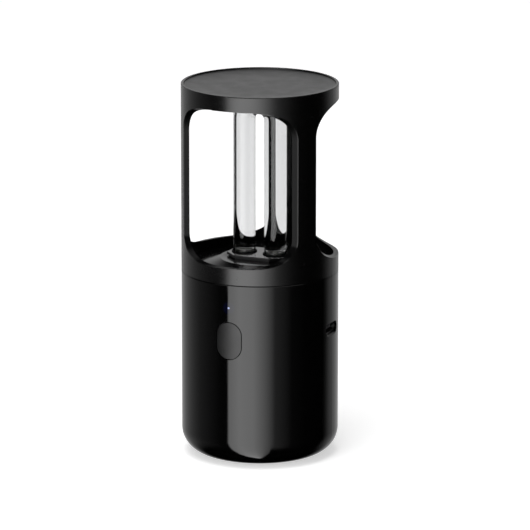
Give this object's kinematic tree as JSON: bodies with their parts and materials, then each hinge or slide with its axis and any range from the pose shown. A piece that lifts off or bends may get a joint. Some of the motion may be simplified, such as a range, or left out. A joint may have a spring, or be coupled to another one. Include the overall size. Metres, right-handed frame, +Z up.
{
  "type": "ultraviolet sterilization lamp",
  "caption": "Pocket ultraviolet sterilization lamp: a U-shaped tube in an open three-pillar cage over a rechargeable round base with a push button and a charging port.",
  "frame": {"origin": "centre of the foot's underside, on the surface that the lamp stands on", "axes": "+Z up along the body, the push button faces -Y, the charging port faces +X"},
  "size_m": [0.053, 0.053, 0.1274],
  "materials": {
    "shell_black": "polished",
    "cover_black": "matte moulded",
    "screw_steel": "zinc plated",
    "foot_rubber": "matte",
    "cage_black": "satin moulded",
    "cap_black": "satin",
    "reflector_black": "satin",
    "plate_black": "polished",
    "grommet_rubber": "satin",
    "base_ceramic": "matte",
    "tube_quartz": "clear",
    "electrode_nickel": "plated",
    "lead_white": "smooth",
    "chassis_plastic": "matte moulded",
    "cell_wrap": "shrink sleeve",
    "pad_foam": "foam",
    "lead_red": "smooth",
    "lead_black": "smooth",
    "board_laminate": "lacquered",
    "core_ferrite": "sintered",
    "coil_tape": "taped",
    "can_sleeve": "sleeved",
    "chip_epoxy": "matte",
    "connector_nylon": "satin",
    "socket_steel": "satin",
    "tongue_plastic": "satin",
    "switch_plastic": "matte",
    "plunger_plastic": "satin",
    "button_black": "satin",
    "led_lens": "clear",
    "pipe_acrylic": "clear"
  },
  "bodies": {
    "lamp": {"base_shell": "shell_black", "base_cover": "cover_black", "cover_screws": "screw_steel", "foot_pad": "foot_rubber", "cage_frame": "cage_black", "top_cap": "cap_black", "reflector_dish": "reflector_black", "lamp_plate": "plate_black", "tube_grommets": "grommet_rubber", "lamp_base": "base_ceramic", "uv_tube": "tube_quartz", "electrode_cups": "electrode_nickel", "lamp_leads": "lead_white", "chassis": "chassis_plastic", "chassis_screws": "screw_steel", "battery_cell": "cell_wrap", "battery_tabs": "electrode_nickel", "battery_pad": "pad_foam", "battery_leads": "lead_red", "driver_board": "board_laminate", "driver_screws": "screw_steel", "transformer_core": "core_ferrite", "transformer_coil": "coil_tape", "driver_capacitors": "can_sleeve", "driver_chips": "chip_epoxy", "board_connectors": "connector_nylon", "power_leads": "lead_red", "signal_leads": "lead_black", "charge_board": "board_laminate", "charge_screws": "screw_steel", "charge_chips": "chip_epoxy", "usb_socket": "socket_steel", "usb_tongue": "tongue_plastic", "switch_board": "board_laminate", "switch_screws": "screw_steel", "switch_body": "switch_plastic", "status_led": "led_lens", "light_pipe": "pipe_acrylic"},
    "button": {"button_cap": "button_black"},
    "plunger": {"switch_plunger": "plunger_plastic"}
  },
  "joints": [
    {"name": "button_press", "type": "slide", "parent": "lamp", "child": "button", "axis": [0, 1, 0], "range_m": [0, 0.0004], "stiffness_N_per_m": 2000, "springref_m": -0.0005},
    {"name": "plunger_slide", "type": "slide", "parent": "lamp", "child": "plunger", "axis": [0, 1, 0], "range_m": [0, 0.0004]}
  ],
  "couplings": [
    {"joint": "plunger_slide", "follows": "button_press", "ratio": 1}
  ]
}
